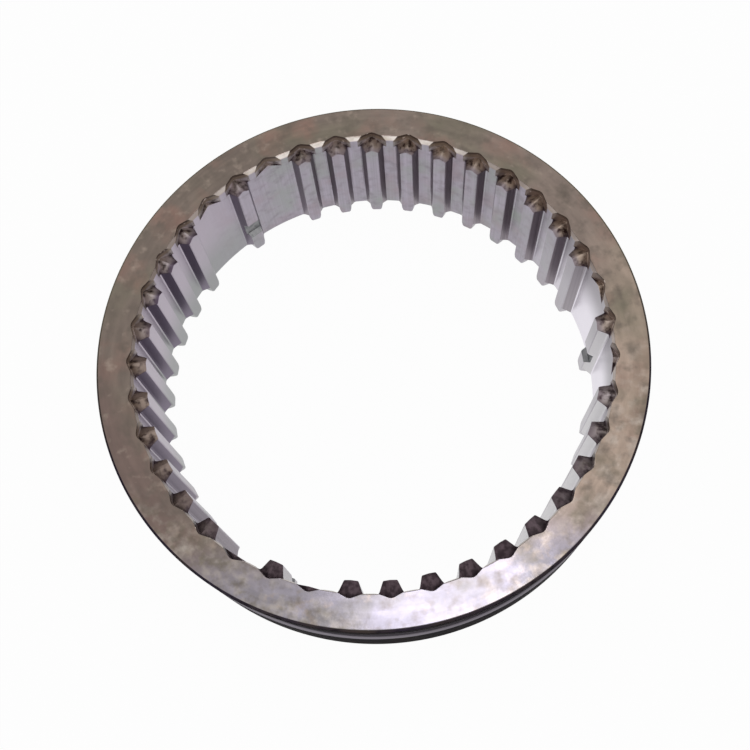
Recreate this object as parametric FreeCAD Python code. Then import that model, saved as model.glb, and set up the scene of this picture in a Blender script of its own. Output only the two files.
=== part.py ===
import FreeCAD, Part
import math
import os

# Synchronizer sleeve: one steel ring with a fork groove round its outside
# and pointed coupling teeth round its bore.
# Lengths are millimetres and angles are degrees. The ring stands on its lower
# face at z = 0, its axis is +Z, and the middle of the first key tooth is on +X.

# Coupling teeth, an involute spline with its teeth pointing inwards
module = 2.5
tooth_positions = 39
pressure_angle = 20.0
tooth_addendum = 1.35
tooth_dedendum = 1.15
tooth_thickness = 3.95

# Key places: a lone tooth with an empty position on each side of it
key_places = 3
key_detent_width = 6.0
key_detent_depth = 1.0
key_detent_side_angle = 45.0
key_detent_below_middle = 5.0

# Pointed upper tooth ends, and the notch that the pointing cutter leaves in the
# upper face; the lower tooth ends are plain, with a turned lead-in at the tips
point_slope_angle = 35.0
point_ridge_recess = 1.7
notch_depth = 1.35
notch_land = 1.6
lead_in = 0.4

# Tapered mouth of the bore at the upper face
mouth_taper_width = 0.35
mouth_taper_depth = 1.6

# Ring outside the spline, with the groove for the shift fork above its middle
groove_floor_wall = 3.1
fork_groove_depth = 4.5
fork_groove_width = 10.0
upper_flange_thickness = 4.5
lower_flange_thickness = 15.5
groove_corner_radius = 0.8
groove_edge_chamfer = 0.4
upper_edge_chamfer = 0.5
lower_edge_chamfer = 2.5

# How far a cutter runs out past the metal, so that no thin skin is left
cutter_runout = 1.0
notch_cutter_overlap = 0.1

# Sizes that follow from the ones above
pitch_radius = module * tooth_positions / 2
base_radius = pitch_radius * math.cos(math.radians(pressure_angle))
tip_radius = pitch_radius - tooth_addendum
root_radius = pitch_radius + tooth_dedendum
mouth_radius = root_radius + mouth_taper_width
groove_floor_radius = root_radius + groove_floor_wall
outer_radius = groove_floor_radius + fork_groove_depth
sleeve_height = lower_flange_thickness + fork_groove_width + upper_flange_thickness
pitch_angle = 360.0 / tooth_positions

AXIS = FreeCAD.Vector(0, 0, 1)
CENTRE = FreeCAD.Vector(0, 0, 0)


def polar(radius, angle, height=0.0):
    """Point at a radius and an angle in degrees round the sleeve's axis."""
    turn = math.radians(angle)
    return FreeCAD.Vector(radius * math.cos(turn), radius * math.sin(turn), height)


def section_point(radius, height):
    """Point of the ring's section, which is drawn in the XZ plane."""
    return FreeCAD.Vector(radius, 0, height)


def line(start, end):
    return Part.LineSegment(start, end).toShape()


def arc(start, middle, end):
    return Part.Arc(start, middle, end).toShape()


def polygon_face(points):
    """Flat face inside a closed run of straight edges."""
    return Part.Face(Part.makePolygon(points + [points[0]]))


def involute_of(angle):
    return math.tan(angle) - angle


def tooth_half_angle(radius):
    """Half of one tooth's angular width at a radius, in degrees."""
    angle_at_radius = math.acos(base_radius / radius)
    flank_lean = involute_of(math.radians(pressure_angle)) - involute_of(angle_at_radius)
    return math.degrees(tooth_thickness / (2 * pitch_radius) - flank_lean)


def key_tooth_positions():
    """Positions of the lone teeth, spread evenly round the bore."""
    return [round(tooth_positions * place / key_places) for place in range(key_places)]


def filled_positions():
    """Positions that carry a tooth: all but the two beside each key tooth."""
    empty = set()
    for position in key_tooth_positions():
        empty.add((position - 1) % tooth_positions)
        empty.add((position + 1) % tooth_positions)
    return [position for position in range(tooth_positions) if position not in empty]


def tooth_outline(middle_angle):
    """Flank, tip land and flank of one tooth, going round the bore."""
    flank_radius = (tip_radius + root_radius) / 2
    root_half = tooth_half_angle(root_radius)
    flank_half = tooth_half_angle(flank_radius)
    tip_half = tooth_half_angle(tip_radius)
    rising = arc(
        polar(root_radius, middle_angle - root_half),
        polar(flank_radius, middle_angle - flank_half),
        polar(tip_radius, middle_angle - tip_half),
    )
    tip_land = arc(
        polar(tip_radius, middle_angle - tip_half),
        polar(tip_radius, middle_angle),
        polar(tip_radius, middle_angle + tip_half),
    )
    falling = arc(
        polar(tip_radius, middle_angle + tip_half),
        polar(flank_radius, middle_angle + flank_half),
        polar(root_radius, middle_angle + root_half),
    )
    return [rising, tip_land, falling]


def broached_blank():
    """Plain ring with the spline broached through it from face to face."""
    root_half = tooth_half_angle(root_radius)
    filled = filled_positions()
    edges = []
    for index, position in enumerate(filled):
        middle = position * pitch_angle
        following = filled[(index + 1) % len(filled)] * pitch_angle
        if following <= middle:
            following += 360.0
        gap_start = middle + root_half
        gap_end = following - root_half
        edges += tooth_outline(middle)
        edges.append(arc(
            polar(root_radius, gap_start),
            polar(root_radius, (gap_start + gap_end) / 2),
            polar(root_radius, gap_end),
        ))
    bore = Part.Face(Part.Wire(edges))
    disc = Part.Face(Part.Wire(Part.makeCircle(outer_radius + cutter_runout)))
    return disc.cut(bore).extrude(AXIS * sleeve_height)


def groove_corner(flange_face, into_groove):
    """Rounded corner where a flange's face meets the groove's floor."""
    corner = groove_corner_radius
    inset = corner * (1 - math.sqrt(0.5))
    on_face = section_point(groove_floor_radius + corner, flange_face)
    bend = section_point(groove_floor_radius + inset, flange_face + into_groove * inset)
    on_floor = section_point(groove_floor_radius, flange_face + into_groove * corner)
    return on_face, bend, on_floor


def turned_body():
    """Everything that the lathe makes: faces, mouth, lead-in, flanges and fork groove."""
    top = sleeve_height
    groove_bottom = lower_flange_thickness
    groove_top = lower_flange_thickness + fork_groove_width
    inside = tip_radius - cutter_runout
    groove_rim = outer_radius - groove_edge_chamfer
    lower_corner = groove_corner(groove_bottom, 1)
    upper_corner = groove_corner(groove_top, -1)
    before_groove = [
        section_point(inside, lead_in + cutter_runout),
        section_point(tip_radius + lead_in, 0),
        section_point(outer_radius - lower_edge_chamfer, 0),
        section_point(outer_radius, lower_edge_chamfer),
        section_point(outer_radius, groove_bottom - groove_edge_chamfer),
        section_point(groove_rim, groove_bottom),
        lower_corner[0],
    ]
    after_groove = [
        upper_corner[0],
        section_point(groove_rim, groove_top),
        section_point(outer_radius, groove_top + groove_edge_chamfer),
        section_point(outer_radius, top - upper_edge_chamfer),
        section_point(outer_radius - upper_edge_chamfer, top),
        section_point(mouth_radius, top),
        section_point(root_radius, top - mouth_taper_depth),
        section_point(inside, top - mouth_taper_depth),
    ]
    edges = [line(a, b) for a, b in zip(before_groove, before_groove[1:])]
    edges.append(arc(*lower_corner))
    edges.append(line(lower_corner[2], upper_corner[2]))
    edges.append(arc(*reversed(upper_corner)))
    edges += [line(a, b) for a, b in zip(after_groove, after_groove[1:])]
    edges.append(line(after_groove[-1], before_groove[0]))
    return Part.Face(Part.Wire(edges)).revolve(CENTRE, AXIS, 360)


def pointing_cut():
    """What the pointing cutter takes away at the upper face, round one position.

    Seen along the axis it is a blunt V that ends in the ring's face. Its floor is
    a roof: two slopes that fall away from a ridge along the middle of the tooth.
    """
    ridge = sleeve_height - point_ridge_recess
    half_width = root_radius * math.sin(math.radians(pitch_angle / 2)) - notch_land / 2
    apex = root_radius + notch_depth
    at_root = math.sqrt(root_radius ** 2 - half_width ** 2)
    side_slope = (apex - at_root) / half_width
    cutter_half_width = half_width + notch_cutter_overlap
    cutter_side = apex - side_slope * cutter_half_width
    inside = tip_radius - cutter_runout
    above = sleeve_height + cutter_runout
    fall = cutter_half_width * math.tan(math.radians(point_slope_angle))
    plan = polygon_face([
        FreeCAD.Vector(inside, -cutter_half_width, ridge - fall),
        FreeCAD.Vector(cutter_side, -cutter_half_width, ridge - fall),
        FreeCAD.Vector(apex, 0, ridge - fall),
        FreeCAD.Vector(cutter_side, cutter_half_width, ridge - fall),
        FreeCAD.Vector(inside, cutter_half_width, ridge - fall),
    ]).extrude(AXIS * (above - ridge + fall))
    roof_start = inside - cutter_runout
    roof = polygon_face([
        FreeCAD.Vector(roof_start, 0, ridge),
        FreeCAD.Vector(roof_start, 2 * cutter_half_width, ridge - 2 * fall),
        FreeCAD.Vector(roof_start, -2 * cutter_half_width, ridge - 2 * fall),
    ]).extrude(FreeCAD.Vector(apex + cutter_runout - roof_start, 0, 0))
    return plan.cut(roof)


def key_detent_cut():
    """Sloping-sided recess across a key tooth, which the key clicks into."""
    middle = sleeve_height / 2 - key_detent_below_middle
    spread = math.tan(math.radians(key_detent_side_angle))
    floor = tip_radius + key_detent_depth
    inside = tip_radius - cutter_runout
    floor_half = key_detent_width / 2 - key_detent_depth * spread
    inside_half = key_detent_width / 2 + cutter_runout * spread
    half_length = tip_radius * math.sin(math.radians(pitch_angle / 2))
    return polygon_face([
        FreeCAD.Vector(inside, -half_length, middle - inside_half),
        FreeCAD.Vector(floor, -half_length, middle - floor_half),
        FreeCAD.Vector(floor, -half_length, middle + floor_half),
        FreeCAD.Vector(inside, -half_length, middle + inside_half),
    ]).extrude(FreeCAD.Vector(0, 2 * half_length, 0))


def turned_copy(shape, angle):
    """Copy of a shape, turned about the sleeve's axis."""
    copy = shape.copy()
    copy.rotate(CENTRE, AXIS, angle)
    return copy


def sleeve():
    """The finished sleeve as one solid."""
    end_cut = pointing_cut()
    detent_cut = key_detent_cut()
    cuts = [turned_copy(end_cut, position * pitch_angle) for position in range(tooth_positions)]
    cuts += [turned_copy(detent_cut, position * pitch_angle) for position in key_tooth_positions()]
    body = broached_blank().common(turned_body())
    return body.cut(cuts).removeSplitter().Solids[0]


os.makedirs("parts", exist_ok=True)
finished = sleeve()
finished.exportStep("parts/sleeve.step")
print("solids", len(finished.Solids), "valid", finished.isValid())
print("volume mm3", round(finished.Volume), "outer radius", outer_radius)
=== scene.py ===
import math

import bpy
import numpy as np
from mathutils import Matrix, Vector


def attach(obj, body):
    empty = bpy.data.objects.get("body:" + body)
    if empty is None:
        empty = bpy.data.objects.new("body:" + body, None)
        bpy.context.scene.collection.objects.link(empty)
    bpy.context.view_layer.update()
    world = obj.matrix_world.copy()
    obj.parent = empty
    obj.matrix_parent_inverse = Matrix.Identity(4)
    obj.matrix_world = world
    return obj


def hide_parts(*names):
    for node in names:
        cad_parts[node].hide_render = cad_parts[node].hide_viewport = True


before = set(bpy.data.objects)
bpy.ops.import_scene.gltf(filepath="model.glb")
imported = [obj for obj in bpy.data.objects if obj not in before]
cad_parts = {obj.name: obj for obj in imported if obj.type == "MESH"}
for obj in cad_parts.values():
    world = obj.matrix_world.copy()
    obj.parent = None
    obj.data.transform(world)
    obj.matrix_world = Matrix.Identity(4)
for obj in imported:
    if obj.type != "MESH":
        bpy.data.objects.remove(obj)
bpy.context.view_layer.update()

# Turned ring: a forged ring of case-hardening steel, turned all over on the
# lathe. A groove for the shift fork leaves a thin flange above it and a thick
# one below, and the bore opens at the upper face in a short taper.
MM = 0.001
# A hair less than the plain solid's 57.5, so that the ring stays inside its box
outer_radius = 57.48 * MM
groove_floor_radius = 53.0 * MM
sleeve_height = 30.0 * MM
lower_flange_thickness = 15.5 * MM
fork_groove_width = 10.0 * MM
upper_edge_chamfer = 0.5 * MM
lower_edge_chamfer = 2.5 * MM
groove_edge_chamfer = 0.4 * MM
groove_corner_radius = 0.8 * MM
broken_edge = 0.12 * MM
mouth_taper_width = 0.35 * MM
mouth_taper_depth = 1.6 * MM

# Places of the finishes in the sleeve's list, in the order in which they follow below
FACE, RIM, GROOVE, MOUTH, NOTCH, ROOF, LAND, FLANK, DETENT = range(9)


def turned_outside():
    """Corners of the ring's outside, from the lower face up to the upper one.

    Each is a radius, a height, the length over which the corner is rounded,
    the number of steps to the next corner and the finish of that stretch.
    """
    groove_bottom = lower_flange_thickness
    groove_top = lower_flange_thickness + fork_groove_width
    groove_rim = outer_radius - groove_edge_chamfer
    return [
        (outer_radius - lower_edge_chamfer, 0.0, 2 * broken_edge, 2, RIM),
        (outer_radius, lower_edge_chamfer, 2 * broken_edge, 4, RIM),
        (outer_radius, groove_bottom - groove_edge_chamfer, broken_edge, 1, GROOVE),
        (groove_rim, groove_bottom, broken_edge, 3, GROOVE),
        (groove_floor_radius, groove_bottom, groove_corner_radius, 3, GROOVE),
        (groove_floor_radius, groove_top, groove_corner_radius, 3, GROOVE),
        (groove_rim, groove_top, broken_edge, 1, GROOVE),
        (outer_radius, groove_top + groove_edge_chamfer, broken_edge, 2, RIM),
        (outer_radius, sleeve_height - upper_edge_chamfer, broken_edge, 1, RIM),
        (outer_radius - upper_edge_chamfer, sleeve_height, broken_edge, 6, FACE),
    ]


# Broached spline: inward teeth, cut by a broach pulled through the bore, on
# 39 places. Three key teeth stand alone, with an empty place on each side,
# and a shallow detent is milled across each of them.
tooth_places = 39
tip_radius = 47.4 * MM
root_radius = 49.9 * MM
tip_half_width = 1.50 * MM
root_half_width = 2.484 * MM
tip_rounding = 0.35 * MM
root_rounding = 0.6 * MM
key_tooth_count = 3
detent_floor = 48.4 * MM
detent_middle = 10.0 * MM
detent_half_width = 3.0 * MM

place_angle = 2 * math.pi / tooth_places
key_places = np.arange(0, tooth_places, tooth_places // key_tooth_count)
empty_places = np.concatenate([key_places - 1, key_places + 1]) % tooth_places


def rounded_max(a, b, reach):
    """The larger of a and b, plus a parabola of (reach - |a - b|) near their corner."""
    near = np.maximum(reach - np.abs(a - b), 0.0)
    return np.maximum(a, b) + near ** 2 / (4 * reach)


def rounded_min(a, b, reach):
    """The smaller of a and b, less the same parabola."""
    return -rounded_max(-a, -b, reach)


def bore_radius(aside, filled):
    """Radius of the broached wall, at a distance aside from the middle of a place.

    A flank is a straight line from the tip's corner to the root's corner, held
    between the two radii with rounded corners. An empty place stays at the root.
    """
    along_flank = (np.abs(aside) - tip_half_width) / (root_half_width - tip_half_width)
    flank = tip_radius + along_flank * (root_radius - tip_radius)
    tooth = rounded_min(rounded_max(flank, tip_radius, tip_rounding), root_radius, root_rounding)
    return np.where(filled, tooth, root_radius)


# Pointed upper tooth ends: a cutter points every place from the upper face. It
# leaves a roof on each tooth, with its ridge along the middle, and a blunt V
# notch in the face behind it, at the empty places too.
ridge_recess = 1.7 * MM
roof_slope = math.tan(math.radians(35.0))
ridge_rounding = 0.15 * MM
notch_apex = 51.25 * MM
notch_half_width = 3.217 * MM
notch_side_slope = 0.452
notch_flat_half_width = 0.3 * MM
notch_flat_rounding = 0.09 * MM
notch_mouth_rounding = 0.05 * MM
shallowest_notch = 0.05 * MM
flank_margin = 0.12 * MM
least_side = 0.02 * MM


def softened(aside, rounding):
    """Distance from the middle plane, with the crease there rounded: a hyperbola."""
    return np.sqrt(aside ** 2 + rounding ** 2) - rounding


def roof_height(radius, local_angle):
    """Height of the roof, which falls away from its ridge on both sides."""
    aside = softened(radius * np.sin(local_angle), ridge_rounding)
    return sleeve_height - ridge_recess - aside * roof_slope


def notch_radius(local_angle):
    """Radius of the notch's wall, which is a blunt V in plan.

    A side is a straight line in polar form, apex / (cos + slope times sin). An
    arc round the axis cuts the apex off where the V is as wide as its flat.
    """
    sine, cosine = np.abs(np.sin(local_angle)), np.cos(local_angle)
    straight = notch_apex / (cosine + notch_side_slope * sine)
    flat = notch_apex - notch_side_slope * notch_flat_half_width
    return rounded_min(straight, flat, notch_flat_rounding)


def column_angles():
    """Angle of each column, its angle from the middle of its place, and its place.

    Every place has the same columns, mirrored about its middle. They stand at
    shares of each stretch of the wall, closer together where it bends.
    """
    tip = math.asin(tip_half_width / tip_radius)
    root = math.asin(root_half_width / root_radius)
    notch = math.asin(notch_half_width / root_radius)
    half_place = np.concatenate([
        tip * np.array([0.0, 0.3, 0.55, 0.75, 0.9, 1.0]),
        tip + (root - tip) * np.array([0.12, 0.5, 0.78, 1.0]),
        root + (notch - root) * np.array([0.4, 1.0]),
        notch + (place_angle / 2 - notch) * np.array([0.4]),
    ])
    whole_place = np.concatenate([-half_place[:0:-1], half_place])
    places = np.repeat(np.arange(tooth_places), len(whole_place))
    local_angles = np.tile(whole_place, tooth_places)
    return places * place_angle + local_angles, local_angles, places


angle, local_angle, tooth_place = column_angles()
aside = root_radius * np.sin(local_angle)
filled = ~np.isin(tooth_place, empty_places)
key = np.isin(tooth_place, key_places)
bore = bore_radius(aside, filled)
notch = np.maximum(notch_radius(local_angle), bore + least_side)


def between(columns):
    """Value half way from each column to the next, for the strip of faces there."""
    return (columns + np.roll(columns, -1)) / 2


off_the_tip = between(bore) > tip_radius + flank_margin
off_the_root = between(bore) < root_radius - flank_margin
broached = np.where(off_the_tip & off_the_root, FLANK, LAND)
milled = np.where(key & (between(bore) < detent_floor), DETENT, broached)
in_notch = between(notch - bore) > shallowest_notch


def upper_corners():
    """Corners from the upper face down to the bore, for every column at once.

    The taper is a straight line from the mouth's radius in the face down to the
    root, and where the notch reaches past the mouth, its wall goes straight up.
    """
    mouth = root_radius + mouth_taper_width
    edge = rounded_max(notch, mouth, notch_mouth_rounding)
    depth = mouth_taper_depth * (mouth - notch) / mouth_taper_width
    taper_end = sleeve_height - np.clip(depth, least_side, mouth_taper_depth)
    roof_back = roof_height(notch, local_angle)
    roof_front = roof_height(bore, local_angle)
    past_mouth = between(notch) > mouth + least_side
    return [
        (edge, sleeve_height, broken_edge, 2, np.where(past_mouth, NOTCH, MOUTH)),
        (notch, taper_end, broken_edge, 2, np.where(in_notch, NOTCH, broached)),
        (notch, roof_back, broken_edge, 3, np.where(in_notch, ROOF, broached)),
        (bore, roof_front, broken_edge, 4, broached),
    ]


def detent_corners():
    """Corners of the detent: a flat floor between sides that slope one for one.

    Only key teeth have it, and elsewhere the wall runs straight down.
    """
    floor = np.where(key, np.maximum(detent_floor / np.cos(local_angle), bore), bore)
    full_depth = detent_floor - tip_radius
    slope_end = np.where(key, np.clip(floor - tip_radius, 0.0, full_depth), full_depth)
    start = np.clip(bore - tip_radius, 0.0, full_depth) * key
    start = np.minimum(start, slope_end - least_side)
    top = detent_middle + detent_half_width
    bottom = detent_middle - detent_half_width
    return [
        (bore, top - start, least_side, 2, milled),
        (floor, top - slope_end, least_side, 3, milled),
        (floor, bottom + slope_end, least_side, 2, milled),
        (bore, bottom + start, least_side, 3, broached),
    ]


# Plain lower tooth ends: they stop level with the lower face, with a small
# lead-in and with the corners of their flanks rounded off
lead_in = 0.4 * MM
lead_in_spread = 0.8
end_rounding = 0.6 * MM
end_height = 3.0 * MM


def lower_corners():
    """Corners from the bore to the lower face.

    Going out from the middle of the tooth, its end rises at the tip's corner
    along a quarter of an ellipse. Down the flank it sinks back in a straight
    line of the radius, to nothing at the root. A lead-in slopes from there out
    to the lower face.
    """
    across = np.clip((np.abs(aside) - tip_half_width + end_rounding) / end_rounding, 0.0, 1.0)
    quarter = end_height * (1 - np.sqrt(1 - across ** 2))
    left_of_tooth = np.clip((root_radius - bore) / (root_radius - tip_radius), 0.0, 1.0)
    lift = lead_in + quarter * left_of_tooth * filled
    return [
        (bore, lift, 2 * broken_edge, 2, broached),
        (bore + lead_in_spread * lift, 0.0, 2 * broken_edge, 5, FACE),
    ]


# Whole sleeve: one closed skin of steel. Its section, which changes from column
# to column with the teeth, is carried round the axis once.
largest_share_of_side = 0.45
bends_at_an_edge = 2
bends_in_the_groove = 5


def carried_section(corners, angles):
    """Closed surface of a section that is carried round the axis.

    In each column every corner becomes a parabola that starts and ends a set
    length from it, at most a set share of the side, and each side is cut into
    equal steps. The point at a column's angle is (r cos, r sin, z).
    """
    radius = np.array([np.broadcast_to(corner[0], angles.shape) for corner in corners])
    height = np.array([np.broadcast_to(corner[1], angles.shape) for corner in corners])
    points = np.stack([radius, height], axis=-1)
    sides = np.roll(points, -1, axis=0) - points
    lengths = np.linalg.norm(sides, axis=-1, keepdims=True)
    longest = largest_share_of_side * lengths
    rows, finishes = [], []
    for index, (_, _, rounding, steps, finish) in enumerate(corners):
        _, _, _, _, finish_before = corners[index - 1]
        _, _, next_rounding, _, _ = corners[(index + 1) % len(corners)]
        corner = points[index]
        back = -sides[index - 1] / lengths[index - 1]
        onward = sides[index] / lengths[index]
        start = corner + back * np.minimum(rounding, longest[index - 1])
        end = corner + onward * np.minimum(rounding, longest[index])
        stop = corner + onward * (lengths[index] - np.minimum(next_rounding, longest[index]))
        bends = bends_in_the_groove if rounding >= groove_corner_radius else bends_at_an_edge
        for bend in range(bends + 1):
            t = bend / bends
            rows.append((1 - t) ** 2 * start + 2 * t * (1 - t) * corner + t ** 2 * end)
            finishes.append(np.broadcast_to(finish if t >= 0.5 else finish_before, angles.shape))
        for step in range(1, steps):
            rows.append(end + (stop - end) * step / steps)
            finishes.append(np.broadcast_to(finish, angles.shape))
    rows = np.array(rows)
    x = rows[..., 0] * np.cos(angles)
    y = rows[..., 0] * np.sin(angles)
    return np.stack([x, y, rows[..., 1]], axis=-1), np.array(finishes)


def closed_mesh(name, grid, finishes):
    """Mesh of a grid that closes on itself both ways, with a finish for each face."""
    row_count, column_count = grid.shape[:2]
    row = np.arange(row_count)[:, None]
    column = np.arange(column_count)[None, :]
    next_row = (row + 1) % row_count
    next_column = (column + 1) % column_count
    faces = np.stack([
        row * column_count + column,
        row * column_count + next_column,
        next_row * column_count + next_column,
        next_row * column_count + column,
    ], axis=-1).reshape(-1, 4)
    mesh = bpy.data.meshes.new(name)
    mesh.from_pydata(grid.reshape(-1, 3).tolist(), [], faces.tolist())
    mesh.polygons.foreach_set("material_index", finishes.reshape(-1).astype(np.int32))
    mesh.update()
    return mesh


section = turned_outside() + upper_corners() + detent_corners() + lower_corners()
grid, finishes = carried_section(section, angle)
sleeve_mesh = closed_mesh("sleeve_steel", grid, finishes)
sleeve = bpy.data.objects.new("sleeve_ring", sleeve_mesh)
bpy.context.scene.collection.objects.link(sleeve)

# Upper and lower face: turned steel under the brown-grey film of heat treatment.
# The eye sees dull, cloudy brown with faint arcs of the turning tool in it, tan on
# one side and redder on another, under a clear sheen. Between them, towards the camera,
# it is paler lilac-grey: partly a thinner film, partly painted sheen round the lamp's highlight.
towards_camera = -90.0

# Nearly all of a noise lies between these two values
noise_low = 0.3
noise_high = 0.7


def linear(hex_colour):
    """Linear colour of an sRGB hex value."""
    channels = [int(hex_colour[i:i + 2], 16) / 255 for i in (1, 3, 5)]
    return [c / 12.92 if c <= 0.04045 else ((c + 0.055) / 1.055) ** 2.4 for c in channels] + [1.0]


def add(tree, kind, inputs=None, **settings):
    """Adds a node, sets its properties, and sets or links each named input.

    Text among the inputs is an sRGB hex value.
    """
    made = tree.nodes.new(kind)
    for name, value in settings.items():
        setattr(made, name, value)
    for name, value in (inputs or {}).items():
        if isinstance(value, bpy.types.NodeSocket):
            tree.links.new(value, made.inputs[name])
        elif isinstance(value, str):
            made.inputs[name].default_value = linear(value)
        else:
            made.inputs[name].default_value = value
    return made


def new_finish(name):
    """Metal finish added to the sleeve: its node tree, its shader and the place on the object."""
    material = bpy.data.materials.new(name)
    material.use_nodes = True
    tree = material.node_tree
    shader = tree.nodes["Principled BSDF"]
    shader.inputs["Metallic"].default_value = 1.0
    place = add(tree, "ShaderNodeTexCoord").outputs["Object"]
    sleeve.data.materials.append(material)
    return tree, shader, place


def going_over(tree, measure, start, end, colour, other, course="SMOOTHSTEP"):
    """Colour that goes over to another while a measure goes from start to end.

    The course is an S-shaped curve, or a straight line where it is called linear.
    """
    share = add(tree, "ShaderNodeMapRange", {
        "Value": measure, "From Min": start, "From Max": end,
    }, interpolation_type=course).outputs[0]
    mixed = add(tree, "ShaderNodeMixRGB", {"Fac": share, "Color1": colour, "Color2": other})
    return mixed.outputs[0]


def across_the_ring(tree, place, colour, other, heading, start, end):
    """Colour that goes over to another along a heading, in degrees from +X to +Y.

    It does so between two distances from the axis in millimetres, which are the
    place's product with the heading's direction.
    """
    direction = math.radians(heading)
    along = Vector((math.cos(direction), math.sin(direction), 0))
    distance = add(tree, "ShaderNodeVectorMath", {0: place, 1: along}, operation="DOT_PRODUCT")
    return going_over(tree, distance.outputs["Value"], start * MM, end * MM, colour, other)


def mottled(tree, place, colour, other, size, low, high, detail=4.0):
    """Colour with patches of another, where a noise of that size in millimetres is high."""
    noise = add(tree, "ShaderNodeTexNoise", {
        "Vector": place, "Scale": 1 / (size * MM), "Detail": detail,
    }).outputs["Fac"]
    return going_over(tree, noise, low, high, colour, other, "LINEAR")


def round_the_axis(tree, place, around, outward, upward):
    """Place for a pattern that follows the lathe or the broach.

    It repeats once in so many millimetres round the axis, outwards and upwards.
    The direction from the axis stands for the angle, so there is no seam.
    """
    apart = add(tree, "ShaderNodeSeparateXYZ", {0: place})
    flat = add(tree, "ShaderNodeCombineXYZ", {"X": apart.outputs["X"], "Y": apart.outputs["Y"]})
    radius = add(tree, "ShaderNodeVectorMath", {0: flat.outputs[0]}, operation="LENGTH")
    towards = add(tree, "ShaderNodeVectorMath", {0: flat.outputs[0]}, operation="NORMALIZE")
    turned = add(tree, "ShaderNodeVectorMath", {
        0: towards.outputs[0], "Scale": root_radius / (around * MM),
    }, operation="SCALE")
    out = add(tree, "ShaderNodeMath", {
        0: radius.outputs["Value"], 1: 1 / (outward * MM),
    }, operation="MULTIPLY")
    rise = add(tree, "ShaderNodeMath", {
        0: apart.outputs["Z"], 1: 1 / (upward * MM), 2: out.outputs[0],
    }, operation="MULTIPLY_ADD")
    deep = add(tree, "ShaderNodeCombineXYZ", {"Z": rise.outputs[0]})
    return add(tree, "ShaderNodeVectorMath", {0: turned.outputs[0], 1: deep.outputs[0]}).outputs[0]


def toned(tree, colour, noise, darkest, lightest):
    """Colour times a factor that goes from darkest to lightest as a noise rises."""
    factor = add(tree, "ShaderNodeMapRange", {
        "Value": noise, "From Min": noise_low, "From Max": noise_high,
        "To Min": darkest, "To Max": lightest,
    }).outputs[0]
    scaled = add(tree, "ShaderNodeVectorMath", {0: colour, "Scale": factor}, operation="SCALE")
    return scaled.outputs[0]


tree, shader, place = new_finish("turned_face_heat_film")
film = across_the_ring(tree, place, "#7f7067", "#70635a", 165.0, -5.0, 40.0)
film = across_the_ring(tree, place, film, "#a69283", -28.0, 32.0, 50.0)
film = mottled(tree, place, film, "#6c6656", 16.0, 0.48, 0.72)
film = mottled(tree, place, film, "#86695e", 10.0, 0.5, 0.75)
film = across_the_ring(tree, place, film, "#6d5b54", 203.0, 47.0, 54.0)
# Paler lilac-grey towards the camera: partly thinner film, partly painted sheen round the highlight
thin_film_and_sheen = mottled(tree, place, "#88828a", "#6f6a66", 8.0, 0.45, 0.75)
film = across_the_ring(tree, place, film, thin_film_and_sheen, towards_camera, 34.0, 48.0)
patchy = mottled(tree, place, film, "#b0a296", 3.0, 0.48, 0.68, 6.0)
patchy = mottled(tree, place, patchy, "#75695a", 4.0, 0.52, 0.74, 6.0)
film = across_the_ring(tree, place, film, patchy, -42.0, 40.0, 54.0)
speckled = mottled(tree, place, film, "#a59b91", 2.2, 0.45, 0.8, 6.0)
speckled = mottled(tree, place, speckled, "#696150", 1.8, 0.5, 0.78, 6.0)
film = across_the_ring(tree, place, film, speckled, -126.0, 46.0, 54.0)
streaks_place = round_the_axis(tree, place, 5.0, 1.8, 50.0)
streaks = add(tree, "ShaderNodeTexNoise", {"Vector": streaks_place, "Scale": 1.0, "Detail": 5.0})
film = toned(tree, film, streaks.outputs["Fac"], 0.84, 1.14)
film = mottled(tree, place, film, "#9a8a7e", 2.4, 0.58, 0.85, 6.0)
film = mottled(tree, place, film, "#5d534a", 2.6, 0.5, 0.85)
arcs_place = round_the_axis(tree, place, 30.0, 0.7, 50.0)
arcs = add(tree, "ShaderNodeTexNoise", {"Vector": arcs_place, "Scale": 1.0, "Detail": 3.0})
film = toned(tree, film, arcs.outputs["Fac"], 0.96, 1.04)
tree.links.new(film, shader.inputs["Base Color"])
dull = add(tree, "ShaderNodeTexNoise", {"Vector": place, "Scale": 1 / (6 * MM), "Detail": 3.0})
roughness = add(tree, "ShaderNodeMapRange", {
    "Value": dull.outputs["Fac"], "To Min": 0.1, "To Max": 0.26,
})
tree.links.new(roughness.outputs[0], shader.inputs["Roughness"])
shader.inputs["Coat Weight"].default_value = 0.6
shader.inputs["Coat Roughness"].default_value = 0.17
grit = add(tree, "ShaderNodeTexNoise", {"Vector": place, "Scale": 1 / (0.9 * MM), "Detail": 4.0})
relief = add(tree, "ShaderNodeMath", {
    0: arcs.outputs["Fac"], 1: grit.outputs["Fac"],
}, operation="ADD")
bump = add(tree, "ShaderNodeBump", {
    "Height": relief.outputs[0], "Strength": 0.3, "Distance": 0.02 * MM,
})
tree.links.new(bump.outputs[0], shader.inputs["Normal"])

# Rim and chamfers: turned steel painted an even, dull near-black, which is painted shade
# for the dark surroundings these walls mirror. Fine turning lines show through it, and
# it is olive-grey towards the back.
tree, shader, place = new_finish("turned_rim_painted_dark")
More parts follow.
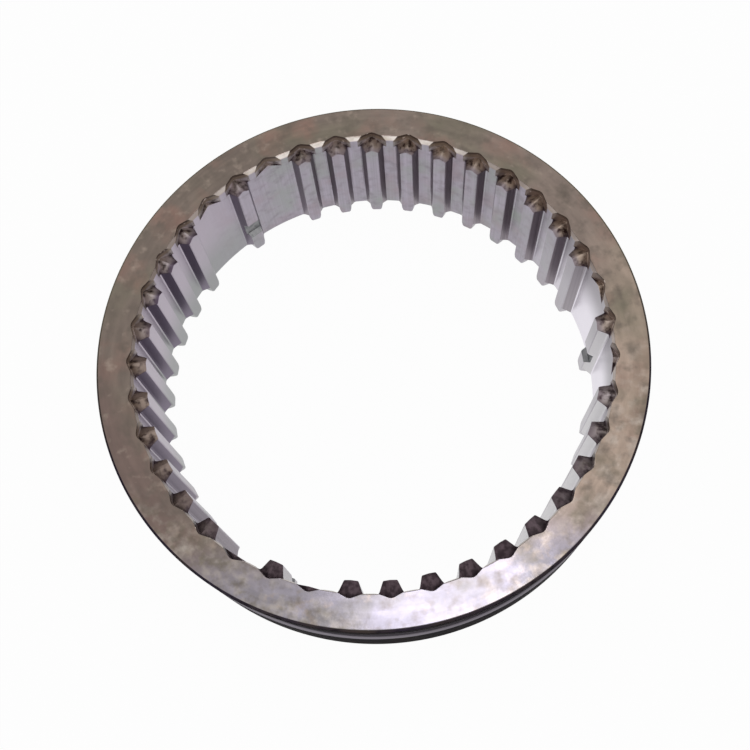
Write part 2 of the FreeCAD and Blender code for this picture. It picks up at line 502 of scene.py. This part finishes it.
# Painted shade: near-black walls, olive-grey towards the back
scale_and_painted_shade = mottled(tree, place, "#342e38", "#443c38", 9.0, 0.4, 0.75)
scale_and_painted_shade = mottled(tree, place, scale_and_painted_shade, "#231f25", 1.6, 0.5, 0.8)
scale_and_painted_shade = across_the_ring(tree, place, scale_and_painted_shade, "#7d7668", 90.0, -20.0, 30.0)
lines_place = round_the_axis(tree, place, 60.0, 0.35, 0.35)
lines = add(tree, "ShaderNodeTexNoise", {"Vector": lines_place, "Scale": 1.0, "Detail": 2.0})
scale_and_painted_shade = toned(tree, scale_and_painted_shade, lines.outputs["Fac"], 0.85, 1.15)
tree.links.new(scale_and_painted_shade, shader.inputs["Base Color"])
shader.inputs["Roughness"].default_value = 0.45
shader.inputs["Specular Tint"].default_value = linear("#3a3438")
bump = add(tree, "ShaderNodeBump", {
    "Height": lines.outputs["Fac"], "Strength": 0.5, "Distance": 0.03 * MM,
})
tree.links.new(bump.outputs[0], shader.inputs["Normal"])

# Fork groove: the same turned steel rubbed clean by the fork, lilac-grey, with
# darker rings where the tool has dug deeper
tree, shader, place = new_finish("turned_groove_worn_bright")
lines_place = round_the_axis(tree, place, 80.0, 0.4, 0.6)
lines = add(tree, "ShaderNodeTexNoise", {"Vector": lines_place, "Scale": 1.0, "Detail": 3.0})
worn = going_over(tree, lines.outputs["Fac"], noise_low, noise_high, "#575259", "#88838a", "LINEAR")
tree.links.new(worn, shader.inputs["Base Color"])
shader.inputs["Roughness"].default_value = 0.38
bump = add(tree, "ShaderNodeBump", {
    "Height": lines.outputs["Fac"], "Strength": 0.5, "Distance": 0.03 * MM,
})
tree.links.new(bump.outputs[0], shader.inputs["Normal"])

# Mouth of the bore: a fine taper cut last, through the film. Its upper edge is painted
# near-white at the back, a painted reflection of the bright floor, and is brown elsewhere.
taper_foot = (sleeve_height - mouth_taper_depth) / MM


def up_the_wall(tree, place, colour, other, start, end):
    """Colour that goes over to another between two heights in millimetres."""
    apart = add(tree, "ShaderNodeSeparateXYZ", {0: place})
    return going_over(tree, apart.outputs["Z"], start * MM, end * MM, colour, other)


tree, shader, place = new_finish("turned_mouth_painted_reflection")
browned = mottled(tree, place, "#a3968f", "#7d716b", 4.0, 0.4, 0.7)
browned = across_the_ring(tree, place, browned, "#7a6d66", 185.0, 30.0, 48.0)
# Painted reflection: near-white at the back, lilac-grey lower down the taper
painted_floor_reflection = mottled(tree, place, "#f2e9e2", "#bbac9c", 3.0, 0.48, 0.76)
painted_floor_reflection = up_the_wall(tree, place, "#b0a5ab", painted_floor_reflection, taper_foot, taper_foot + 0.5)
mouth_steel = across_the_ring(tree, place, browned, painted_floor_reflection, 90.0, 36.0, 50.5)
tree.links.new(mouth_steel, shader.inputs["Base Color"])
shader.inputs["Roughness"].default_value = 0.3

# Notch walls: cut by the pointing cutter before hardening, and left with a scale
# that is dark brown along the upper edge, brown under it and lilac-grey lowest.
# It is dull, so it is darkened by the corners it lies in. On the side towards the camera
# it is painted dark as painted shade, and a few painted glints lie on it.
tree, shader, place = new_finish("pointed_notch_scale_painted_shade")
scale_and_painted_shade = mottled(tree, place, "#b8adb0", "#a0978c", 4.0, 0.45, 0.7)
scale_and_painted_shade = mottled(tree, place, scale_and_painted_shade, "#655654", 1.3, 0.48, 0.72)
scale_and_painted_shade = up_the_wall(tree, place, scale_and_painted_shade, "#8c7a6b", 27.6, 28.6)
scale_and_painted_shade = across_the_ring(tree, place, scale_and_painted_shade, "#78645a", 22.0, 36.0, 50.0)
scale_and_painted_shade = up_the_wall(tree, place, scale_and_painted_shade, "#4b3a2f", 28.9, 29.7)
# Painted shade: darker on the side towards the camera
scale_and_painted_shade = across_the_ring(tree, place, scale_and_painted_shade, "#3c3236", towards_camera, 5.0, 45.0)
# Painted glints: rare near-white spots
painted_glints = mottled(tree, place, scale_and_painted_shade, "#e6d6cb", 1.6, 0.68, 0.74, 1.0)
tree.links.new(painted_glints, shader.inputs["Base Color"])
shader.inputs["Metallic"].default_value = 0.4
shader.inputs["Roughness"].default_value = 0.5
grit = add(tree, "ShaderNodeTexNoise", {"Vector": place, "Scale": 1 / (0.6 * MM), "Detail": 3.0})
bump = add(tree, "ShaderNodeBump", {
    "Height": grit.outputs["Fac"], "Strength": 0.6, "Distance": 0.04 * MM,
})
tree.links.new(bump.outputs[0], shader.inputs["Normal"])

# Roofs of the pointed ends: the same scale, rubbed through to lilac-brown where
# the gear's teeth have slid over them, and to tan or brown on two sides. Dark
# spots of it are left, and it is darker towards the tooth tips. On the side
# towards the camera it is painted dark, a painted shade.
inner_film_start = 49.4
inner_film_end = 47.6


def from_the_axis(tree, place, colour, other, start, end):
    """Colour that goes over to another between two radii in millimetres."""
    flat = add(tree, "ShaderNodeVectorMath", {0: place, 1: (1.0, 1.0, 0.0)}, operation="MULTIPLY")
    radius = add(tree, "ShaderNodeVectorMath", {0: flat.outputs[0]}, operation="LENGTH")
    return going_over(tree, radius.outputs["Value"], start * MM, end * MM, colour, other)


tree, shader, place = new_finish("pointed_roof_scale_painted_shade")
scale_and_painted_shade = mottled(tree, place, "#c8bcbc", "#b2a699", 3.0, 0.45, 0.7)
scale_and_painted_shade = mottled(tree, place, scale_and_painted_shade, "#3c2f33", 1.5, 0.48, 0.68)
tan_film = mottled(tree, place, "#c4b1a1", "#43312d", 1.5, 0.46, 0.64)
scale_and_painted_shade = across_the_ring(tree, place, scale_and_painted_shade, tan_film, 40.0, 25.0, 45.0)
inner_film = mottled(tree, place, "#8f8387", "#4e4044", 1.5, 0.5, 0.7)
inner_film = across_the_ring(tree, place, inner_film, "#5f5262", 175.0, 20.0, 46.0)
scale_and_painted_shade = from_the_axis(tree, place, scale_and_painted_shade, inner_film, inner_film_start, inner_film_end)
brown_film = mottled(tree, place, "#9a897e", "#382b2a", 1.5, 0.47, 0.66)
scale_and_painted_shade = across_the_ring(tree, place, scale_and_painted_shade, brown_film, 195.0, 38.0, 48.0)
scale_and_painted_shade = up_the_wall(tree, place, scale_and_painted_shade, "#574a52", 27.5, 26.6)
# Painted shade: dark on the side towards the camera
painted_near_shade = mottled(tree, place, "#3a2f34", "#5b4d53", 1.2, 0.4, 0.62)
scale_and_painted_shade = across_the_ring(tree, place, scale_and_painted_shade, painted_near_shade, towards_camera, 5.0, 45.0)
tree.links.new(scale_and_painted_shade, shader.inputs["Base Color"])
shader.inputs["Metallic"].default_value = 0.9
shader.inputs["Roughness"].default_value = 0.36
grit = add(tree, "ShaderNodeTexNoise", {"Vector": place, "Scale": 1 / (0.5 * MM), "Detail": 3.0})
bump = add(tree, "ShaderNodeBump", {
    "Height": grit.outputs["Fac"], "Strength": 0.4, "Distance": 0.03 * MM,
})
tree.links.new(bump.outputs[0], shader.inputs["Normal"])

# Lands of the spline: broached steel, lilac-grey and smooth. It is polished brighter
# low down on one side and rubbed more lilac towards the top on the other, with
# faint upright lines where the broach's teeth have dragged.
tree, shader, place = new_finish("broached_land")
drag_place = round_the_axis(tree, place, 0.45, 3.0, 40.0)
drag = add(tree, "ShaderNodeTexNoise", {"Vector": drag_place, "Scale": 1.0, "Detail": 3.0})
steel = going_over(tree, drag.outputs["Fac"], noise_low, noise_high, "#958f99", "#a59daa", "LINEAR")
steel = mottled(tree, place, steel, "#919592", 9.0, 0.45, 0.75)
steel = mottled(tree, place, steel, "#94838b", 7.0, 0.5, 0.8)
steel = mottled(tree, place, steel, "#857d86", 2.0, 0.5, 0.8)
rubbed = up_the_wall(tree, place, "#909192", "#aaa0ac", 4.0, 20.0)
steel = across_the_ring(tree, place, steel, rubbed, 162.0, 30.0, 48.0)
bright = from_the_axis(tree, place, "#b3afb5", "#e8e3ec", 48.6, 49.7)
bright = up_the_wall(tree, place, bright, "#9c979e", 12.0, 26.0)
steel = across_the_ring(tree, place, steel, bright, -18.0, 25.0, 45.0)
tree.links.new(steel, shader.inputs["Base Color"])
shader.inputs["Roughness"].default_value = 0.33
bump = add(tree, "ShaderNodeBump", {
    "Height": drag.outputs["Fac"], "Strength": 0.4, "Distance": 0.02 * MM,
})
tree.links.new(bump.outputs[0], shader.inputs["Normal"])

# Flanks of the teeth: broached like the lands, and painted a darker purple-grey for the
# shade between the teeth, darker still on one side and near-white on the other
tree, shader, place = new_finish("broached_flank_painted_shade")
drag_place = round_the_axis(tree, place, 3.0, 0.4, 30.0)
drag = add(tree, "ShaderNodeTexNoise", {"Vector": drag_place, "Scale": 1.0, "Detail": 3.0})
# Painted shade: darker than the lands, whose broached finish it shares
steel = going_over(tree, drag.outputs["Fac"], noise_low, 0.75, "#6f646d", "#938891", "LINEAR")
steel = across_the_ring(tree, place, steel, "#74697b", 160.0, 15.0, 45.0)
steel = across_the_ring(tree, place, steel, "#d4d2d4", -55.0, 6.0, 36.0)
tree.links.new(steel, shader.inputs["Base Color"])
shader.inputs["Roughness"].default_value = 0.4
bump = add(tree, "ShaderNodeBump", {
    "Height": drag.outputs["Fac"], "Strength": 0.4, "Distance": 0.02 * MM,
})
tree.links.new(bump.outputs[0], shader.inputs["Normal"])

# Detents of the key teeth: milled across, in a plain grey a little darker than the lands
tree, shader, place = new_finish("milled_detent_darker")
detent_grey = mottled(tree, place, "#9d9d9e", "#787a7c", 1.5, 0.4, 0.7)
tree.links.new(detent_grey, shader.inputs["Base Color"])
shader.inputs["Roughness"].default_value = 0.4
shader.inputs["Specular Tint"].default_value = linear("#8a8a8c")

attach(sleeve, "root")
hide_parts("sleeve")

# Floor: a white studio table, painted matt. What the camera sees of it is nearly
# all an even white glow, so the ring keeps only a faint shadow.
floor_half_width = 3.0
floor_clearance = 0.1 * MM
glow_share = 0.97


def seen(tree):
    """1 for what the camera sees, straight or reflected in polished steel, and else 0."""
    paths = add(tree, "ShaderNodeLightPath")
    return add(tree, "ShaderNodeMath", {
        0: paths.outputs["Is Camera Ray"], 1: paths.outputs["Is Glossy Ray"],
    }, operation="MAXIMUM").outputs[0]


floor_mesh = bpy.data.meshes.new("floor")
floor_corners = np.array([(-1, -1, 0), (1, -1, 0), (1, 1, 0), (-1, 1, 0)]) * floor_half_width
floor_mesh.from_pydata(floor_corners.tolist(), [], [(0, 1, 2, 3)])
floor = bpy.data.objects.new("floor", floor_mesh)
bpy.context.scene.collection.objects.link(floor)
floor.location.z = -floor_clearance
floor_paint = bpy.data.materials.new("white_table")
floor_paint.use_nodes = True
tree = floor_paint.node_tree
tree.nodes.clear()
paint = add(tree, "ShaderNodeBsdfDiffuse", {"Color": "#f4f4f4"})
glow = add(tree, "ShaderNodeEmission", {"Strength": 1.0})
share = add(tree, "ShaderNodeMath", {0: seen(tree), 1: glow_share}, operation="MULTIPLY")
mixed = add(tree, "ShaderNodeMixShader", {
    0: share.outputs[0], 1: paint.outputs[0], 2: glow.outputs[0],
})
add(tree, "ShaderNodeOutputMaterial", {"Surface": mixed.outputs[0]})
floor.data.materials.append(floor_paint)

# Studio: white all round. The camera and the steel's reflections see it at full
# strength, and what it sheds as soft light is half as strong.
full_white = 1.0
shed_white = 0.5
world = bpy.data.worlds.new("studio")
bpy.context.scene.world = world
world.use_nodes = True
tree = world.node_tree
tree.nodes.clear()
strength = add(tree, "ShaderNodeMapRange", {
    "Value": seen(tree), "To Min": shed_white, "To Max": full_white,
})
sky = add(tree, "ShaderNodeBackground", {"Color": "#ffffff", "Strength": strength.outputs[0]})
add(tree, "ShaderNodeOutputWorld", {"Surface": sky.outputs[0]})

# Softbox: a round lamp nearly overhead, placed so that its light comes back to the
# camera off the near side of the face
softbox_distance = 0.9
softbox_size = 0.19
top_light = bpy.data.lights.new("overhead_softbox", "AREA")
top_light.shape = "DISK"
top_light.size = softbox_size
top_light.energy = 0.44
top_light.color = (0.88, 0.9, 1.0)
top_lamp = bpy.data.objects.new("overhead_softbox", top_light)
lamp_direction = Vector((0.053, 0.116, 0.992)).normalized()
near_side = Vector((-5.6 * MM, -51.8 * MM, sleeve_height))
top_lamp.location = near_side + lamp_direction * softbox_distance
top_lamp.rotation_euler = lamp_direction.to_track_quat("Z", "Y").to_euler()
bpy.context.scene.collection.objects.link(top_lamp)

# Camera: the photograph's own place and lens, found from the ring's outline and
# teeth. It looks at the middle of the upper face and is rolled and turned a little.
aim = Vector((0, 0, sleeve_height))
camera_distance = 219.75 * MM
elevation, roll = math.radians(69.832), math.radians(-8.154)
pan, tilt = math.radians(-0.027), math.radians(1.452)
turn_about_axis = math.radians(0.891)
back = Vector((0, -math.cos(elevation), math.sin(elevation)))
right = Vector((1, 0, 0))
up = back.cross(right)
panned = back * math.cos(pan) * math.cos(tilt) + right * math.sin(pan)
behind = (panned + up * math.sin(tilt)).normalized()
across = up.cross(behind).normalized()
above = behind.cross(across)
camera_x = across * math.cos(roll) + above * math.sin(roll)
camera_y = above * math.cos(roll) - across * math.sin(roll)
pose = Matrix((camera_x, camera_y, behind)).transposed().to_4x4()
pose.translation = back * camera_distance
camera_data = bpy.data.cameras.new("camera")
camera_data.lens = 50.904
camera_data.sensor_width = 36.0
camera_data.clip_start = 0.01
camera_data.clip_end = 20.0
camera = bpy.data.objects.new("camera", camera_data)
bpy.context.scene.collection.objects.link(camera)
turn = Matrix.Rotation(turn_about_axis, 4, "Z")
camera.matrix_world = Matrix.Translation(aim) @ turn @ pose
bpy.context.scene.camera = camera

bpy.context.scene.view_settings.view_transform = "Standard"
